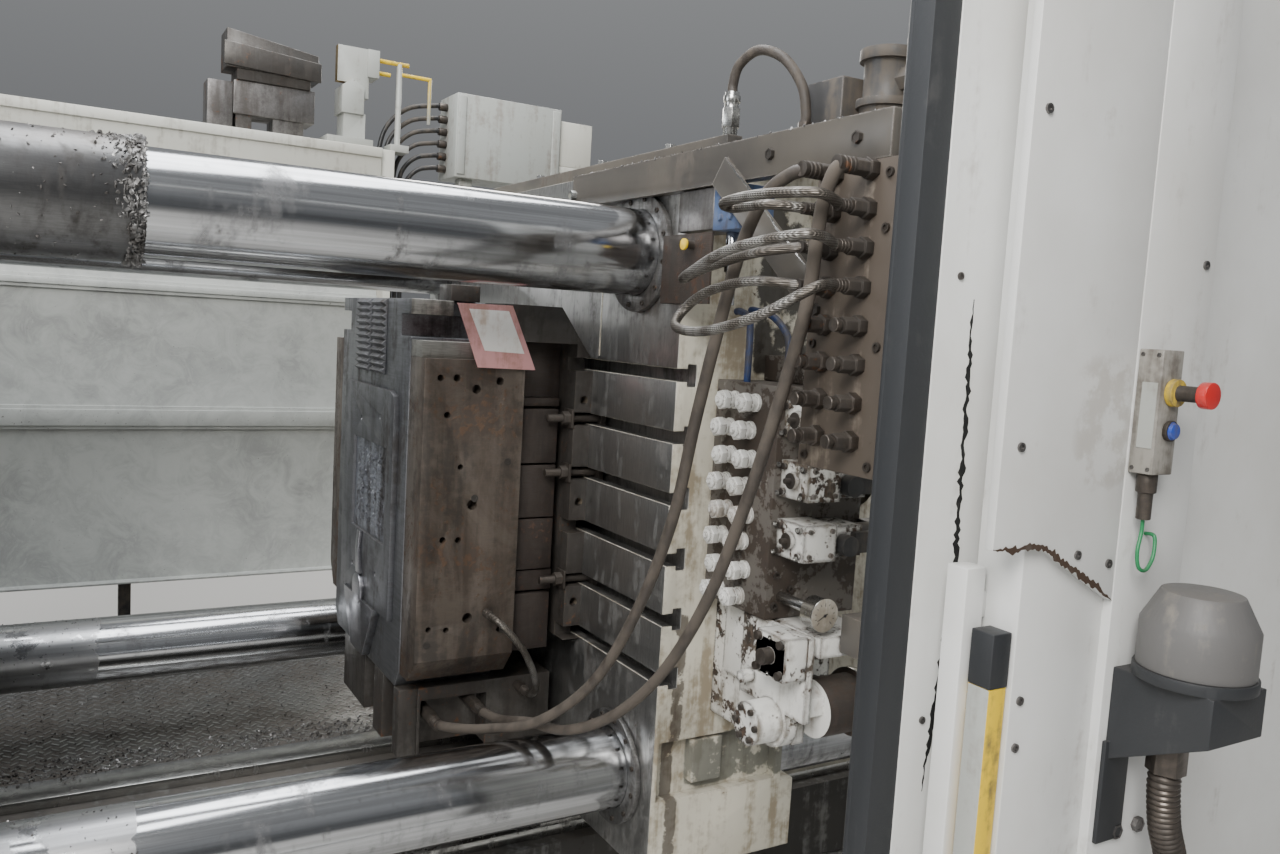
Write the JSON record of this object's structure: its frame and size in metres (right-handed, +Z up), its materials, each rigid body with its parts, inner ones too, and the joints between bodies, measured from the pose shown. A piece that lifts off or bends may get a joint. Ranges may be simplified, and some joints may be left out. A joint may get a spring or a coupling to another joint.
{
  "type": "die casting machine",
  "caption": "Horizontal cold-chamber die casting machine with tie bars, a sliding platen that carries the ejector die, hydraulic valves and hoses, guards and a sliding door.",
  "frame": {"origin": "on the floor below the machine's axis, in the plane of the moving platen's face with the die open", "axes": "+X along the machine towards the closing cylinder, +Y away from the operator, +Z up"},
  "size_m": [8.64, 3.8, 2.74],
  "materials": {
    "bed_paint": "satin, grimy",
    "platen_steel": "cream paint on castings, machined faces bare",
    "bar_chrome": "hard chrome, polished by the bushes",
    "dull_steel": "dull",
    "die_steel": "blue-grey tool steel",
    "insert_steel": "heat-checked tool steel",
    "rusty_steel": "rusty, oily",
    "dark_steel": "oily black",
    "bottle_paint": "gloss",
    "cylinder_paint": "satin",
    "guard_paint": "white, scuffed",
    "guard_sheet": "light grey, stained",
    "rail_paint": "cream",
    "chequer_steel": "oily chequer plate",
    "curtain_paint": "yellow with a grey window",
    "box_metal": "grey-brown",
    "stop_plastic": "gloss",
    "switch_plastic": "charcoal",
    "conduit_metal": "corrugated",
    "seal_rubber": "matt",
    "beam_steel": "dark, oily",
    "plate_paint": "grimy tan",
    "fitting_steel": "oily",
    "valve_paint": "white, chipped",
    "plug_paint": "white overspray",
    "gauge_metal": "satin",
    "blue_paint": "satin",
    "hose_rubber": "dusty",
    "braid_metal": "braided",
    "cable_green": "satin",
    "tag_sheet": "faded, stained"
  },
  "bodies": {
    "machine": {"bed": "bed_paint", "fixed_platen": "platen_steel", "tie_bars": "bar_chrome", "tie_bar_nuts": "dull_steel", "tie_bar_sleeve": "dull_steel", "cover_die": "die_steel", "shot_sleeve": "dull_steel", "injection_frame": "platen_steel", "shot_cylinder": "cylinder_paint", "accumulators": "bottle_paint", "end_platen": "platen_steel", "closing_cylinder": "cylinder_paint", "rear_guard_frame": "rail_paint", "rear_guard_panels": "guard_sheet", "chute_plate": "chequer_steel", "tool_block": "dull_steel", "air_unit": "gauge_metal", "hose_box": "cylinder_paint", "box_hoses": "seal_rubber", "guard_posts": "guard_paint", "door_track": "guard_paint", "post_cover": "guard_paint", "light_curtain": "curtain_paint", "button_box": "box_metal", "push_buttons": "stop_plastic", "button_cable": "cable_green", "palm_switch": "switch_plastic", "conduit": "conduit_metal"},
    "door": {"door_leaf": "guard_paint", "door_seal": "seal_rubber"},
    "platen": {"moving_platen": "platen_steel", "bar_bushes": "dark_steel", "closing_ram": "bar_chrome", "clamp_plate": "dark_steel", "ejector_box": "dark_steel", "die_block": "die_steel", "die_insert": "insert_steel", "side_cores": "rusty_steel", "die_clamps": "dark_steel", "die_tag": "tag_sheet", "top_beam": "beam_steel", "coupling_plate": "plate_paint", "hose_fittings": "fitting_steel", "upper_valves": "valve_paint", "valve_block": "valve_paint", "port_plugs": "plug_paint", "directional_valves": "valve_paint", "lower_manifold": "valve_paint", "pipe_coupling": "rusty_steel", "pressure_gauge": "gauge_metal", "core_cylinder": "blue_paint", "sensor_shield": "rusty_steel", "long_hoses": "hose_rubber", "jumper_hoses": "braid_metal", "small_hoses": "braid_metal"}
  },
  "joints": [
    {"name": "platen_slide", "type": "slide", "parent": "machine", "child": "platen", "axis": [-1, 0, 0], "range_m": [0, 0.94]},
    {"name": "door_slide", "type": "slide", "parent": "machine", "child": "door", "axis": [-1, 0, 0], "range_m": [0, 1.63]}
  ]
}
